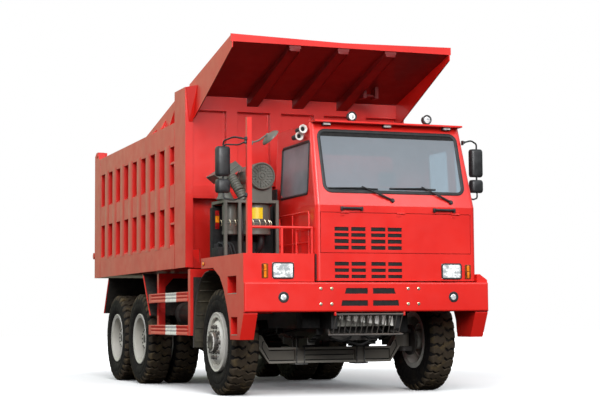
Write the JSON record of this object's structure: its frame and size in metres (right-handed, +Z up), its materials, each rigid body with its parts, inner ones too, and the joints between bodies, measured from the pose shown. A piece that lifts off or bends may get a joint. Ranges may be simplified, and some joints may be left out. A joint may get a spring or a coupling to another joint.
{
  "type": "mining dump truck",
  "caption": "Red mining dump truck with a forward cab on one side, a canopied rock body on a rear hinge and twin rear axles.",
  "frame": {"origin": "on the ground, midway along the truck's length and width", "axes": "+Z up, the front faces -Y, +X is the driver's left side"},
  "size_m": [3.74, 8.162, 4.6168],
  "materials": {
    "red_paint": "gloss",
    "black_frame": "satin",
    "cast_iron": "rough",
    "radiator_core": "finned",
    "steel_tube": "satin",
    "grey_plastic": "moulded",
    "dark_plastic": "moulded",
    "black_plastic": "moulded",
    "tinted_glass": "clear",
    "lamp_glass": "clear",
    "seat_fabric": "woven",
    "rubber_flap": "matte",
    "tyre_rubber": "matte",
    "silver_rim": "satin",
    "chrome_rod": "polished"
  },
  "bodies": {
    "steer_left": {"knuckle_left": "black_frame"},
    "wheel_front_left": {"tyre_front_left": "tyre_rubber", "rim_front_left": "silver_rim"},
    "wheels_middle_left": {"tyres_middle_left": "tyre_rubber", "rims_middle_left": "silver_rim"},
    "wheels_rear_left": {"tyres_rear_left": "tyre_rubber", "rims_rear_left": "silver_rim"},
    "steer_right": {"knuckle_right": "black_frame"},
    "wheel_front_right": {"tyre_front_right": "tyre_rubber", "rim_front_right": "silver_rim"},
    "wheels_middle_right": {"tyres_middle_right": "tyre_rubber", "rims_middle_right": "silver_rim"},
    "wheels_rear_right": {"tyres_rear_right": "tyre_rubber", "rims_rear_right": "silver_rim"},
    "dump_body": {"dump_floor": "red_paint", "dump_sides": "red_paint", "headboard": "red_paint", "canopy": "red_paint"},
    "gate": {"tailgate": "red_paint"},
    "hoist_barrel_pair": {"hoist_barrels": "black_frame"},
    "hoist_sleeve_pair": {"hoist_sleeves": "chrome_rod"},
    "hoist_rod_pair": {"hoist_rods": "chrome_rod"},
    "door": {"door_left": "red_paint", "door_glass": "tinted_glass"},
    "hatch": {"front_hatch": "red_paint"},
    "chassis": {"frame_rails": "black_frame", "cross_members": "black_frame", "engine_block": "cast_iron", "radiator": "radiator_core", "rear_axles": "black_frame", "drive_shafts": "black_frame", "front_axle_beam": "black_frame", "front_springs": "black_frame", "bogie_springs": "black_frame", "bumper": "red_paint", "sump_guard": "steel_tube", "fender_right": "red_paint", "fender_left": "red_paint", "deck_railing": "red_paint", "air_cleaner": "grey_plastic", "intake_hood": "grey_plastic", "cab_shell": "red_paint", "windscreen": "tinted_glass", "cab_glass": "tinted_glass", "cab_seat": "seat_fabric", "dashboard": "dark_plastic", "sun_visor": "red_paint", "headlamps": "lamp_glass", "fog_lamps": "lamp_glass", "mirrors_right": "black_plastic", "mirrors_left": "black_plastic", "side_guards": "red_paint", "air_tank": "black_frame", "fuel_tank": "black_frame", "mudguards": "rubber_flap"}
  },
  "joints": [
    {"name": "steer_left", "type": "hinge", "parent": "chassis", "child": "steer_left", "pos_m": [1.1, -2.674, 0.684], "axis": [0, 0, 1], "range_deg": [-32, 32]},
    {"name": "steer_right", "type": "hinge", "parent": "chassis", "child": "steer_right", "pos_m": [-1.1, -2.674, 0.684], "axis": [0, 0, 1], "range_deg": [-32, 32]},
    {"name": "roll_front_left", "type": "hinge", "parent": "steer_left", "child": "wheel_front_left", "pos_m": [1.38, -2.674, 0.684], "axis": [1, 0, 0], "continuous": true},
    {"name": "roll_front_right", "type": "hinge", "parent": "steer_right", "child": "wheel_front_right", "pos_m": [-1.38, -2.674, 0.684], "axis": [1, 0, 0], "continuous": true},
    {"name": "roll_middle_left", "type": "hinge", "parent": "chassis", "child": "wheels_middle_left", "pos_m": [1.213, 1.142, 0.684], "axis": [1, 0, 0], "continuous": true},
    {"name": "roll_rear_left", "type": "hinge", "parent": "chassis", "child": "wheels_rear_left", "pos_m": [1.213, 2.584, 0.684], "axis": [1, 0, 0], "continuous": true},
    {"name": "roll_middle_right", "type": "hinge", "parent": "chassis", "child": "wheels_middle_right", "pos_m": [-1.213, 1.142, 0.684], "axis": [1, 0, 0], "continuous": true},
    {"name": "roll_rear_right", "type": "hinge", "parent": "chassis", "child": "wheels_rear_right", "pos_m": [-1.213, 2.584, 0.684], "axis": [1, 0, 0], "continuous": true},
    {"name": "tip_body", "type": "hinge", "parent": "chassis", "child": "dump_body", "pos_m": [0, 3.326, 1.3], "axis": [-1, 0, 0], "range_deg": [0, 45]},
    {"name": "swing_gate", "type": "hinge", "parent": "dump_body", "child": "gate", "pos_m": [0, 3.761, 3.785], "axis": [1, 0, 0], "range_deg": [0, 60]},
    {"name": "tilt_hoist", "type": "hinge", "parent": "chassis", "child": "hoist_barrel_pair", "pos_m": [0, -1.074, 0.62], "axis": [1, 0, 0], "range_deg": [-0.5, 14.59]},
    {"name": "extend_sleeve", "type": "slide", "parent": "hoist_barrel_pair", "child": "hoist_sleeve_pair", "axis": [0, 0.7745, 0.6325], "range_m": [-0.005, 1.1971]},
    {"name": "extend_rod", "type": "slide", "parent": "hoist_sleeve_pair", "child": "hoist_rod_pair", "axis": [0, 0.7745, 0.6325], "range_m": [-0.005, 1.1971]},
    {"name": "open_door", "type": "hinge", "parent": "chassis", "child": "door", "pos_m": [1.519, -3.471, 2.1], "axis": [0, 0, -1], "range_deg": [0, 70]},
    {"name": "lift_hatch", "type": "hinge", "parent": "chassis", "child": "hatch", "pos_m": [0.3915, -4.046, 2.297], "axis": [-1, 0, 0], "range_deg": [0, 85]}
  ],
  "couplings": [
    {"joint": "steer_right", "follows": "steer_left", "ratio": 1},
    {"joint": "tilt_hoist", "follows": "tip_body", "ratio": 0.31307},
    {"joint": "extend_sleeve", "follows": "tip_body", "m_per_rad": 1.5178},
    {"joint": "extend_rod", "follows": "tip_body", "m_per_rad": 1.5178}
  ]
}
